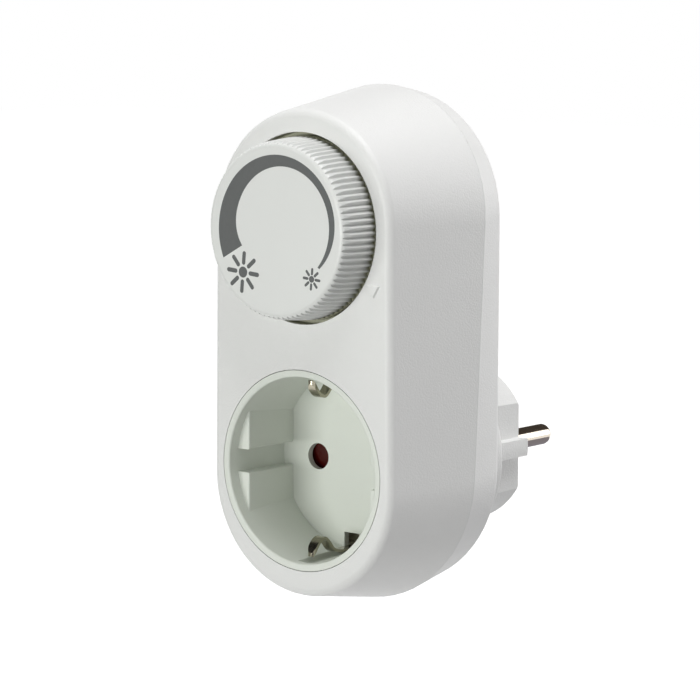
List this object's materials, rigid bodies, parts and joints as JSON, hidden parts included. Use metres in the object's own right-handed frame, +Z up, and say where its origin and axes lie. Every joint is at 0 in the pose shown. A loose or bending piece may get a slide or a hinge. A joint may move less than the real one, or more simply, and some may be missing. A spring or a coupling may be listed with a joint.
{
  "type": "plug-in dimmer",
  "caption": "White plug-in lamp dimmer: round-ended case with a knurled rotary knob above an earthed socket recess, and an earthed pin plug on its back.",
  "frame": {"origin": "centre of the plug's face, midway between the pins, on the axis that plug and socket share", "axes": "+Y along the plug's pins, away from the case; the front face with knob and socket looks towards -Y; +Z up, knob above socket; +X to the viewer's right"},
  "size_m": [0.0574, 0.0853, 0.1119],
  "materials": {
    "case_plastic": "moulded polycarbonate, fine spark-eroded grain",
    "knob_plastic": "moulded, satin, grey print on the face",
    "insert_plastic": "moulded polycarbonate, smooth satin",
    "carrier_plastic": "moulded, plain",
    "red_plastic": "moulded, smooth",
    "black_plastic": "moulded epoxy",
    "yellow_plastic": "moulded box",
    "nickel_plate": "nickel-plated brass, bright",
    "steel": "zinc-plated",
    "brass": "stamped sheet",
    "aluminium": "rolled sheet",
    "ferrite": "sintered ferrite",
    "enamelled_copper": "enamelled wire",
    "board_laminate": "glass-fibre laminate with solder mask",
    "resistor_lacquer": "lacquered",
    "diode_glass": "glass body",
    "fuse_glass": "glass tube with metal caps",
    "wire_brown": "insulated stranded wire",
    "wire_grey": "insulated stranded wire"
  },
  "bodies": {
    "housing": {"front_cover": "case_plastic", "rear_cover": "case_plastic", "socket_insert": "insert_plastic", "socket_earth_strap": "nickel_plate", "plug_pins": "nickel_plate", "contact_carrier": "carrier_plastic", "contact_load": "brass", "contact_neutral": "brass", "plug_earth_strap": "nickel_plate", "earth_post": "brass", "shutter_spring": "steel", "potentiometer_body": "steel", "potentiometer_nut": "steel", "circuit_board": "board_laminate", "board_screws": "steel", "triac": "black_plastic", "heat_sink": "aluminium", "triac_screw": "steel", "triac_nut": "steel", "choke_core": "ferrite", "choke_winding": "enamelled_copper", "suppression_capacitor": "yellow_plastic", "timing_capacitor": "red_plastic", "resistors": "resistor_lacquer", "diac": "diode_glass", "fuse": "fuse_glass", "fuse_clips": "brass", "line_wire": "wire_brown", "load_wire": "wire_grey", "case_screws": "steel"},
    "knob": {"knob": "knob_plastic", "potentiometer_shaft": "steel"},
    "shutter": {"shutter": "red_plastic"}
  },
  "joints": [
    {"name": "knob_turn", "type": "hinge", "parent": "housing", "child": "knob", "pos_m": [0, -0.0585, 0.0516], "axis": [0, 1, 0], "range_deg": [-14, 256]},
    {"name": "shutter_turn", "type": "hinge", "parent": "housing", "child": "shutter", "pos_m": [0, -0.0385, 0], "axis": [0, 1, 0], "range_deg": [0, 40], "stiffness_Nm_per_rad": 0.002, "springref_deg": -17.19, "deforming": ["shutter_spring"]}
  ]
}
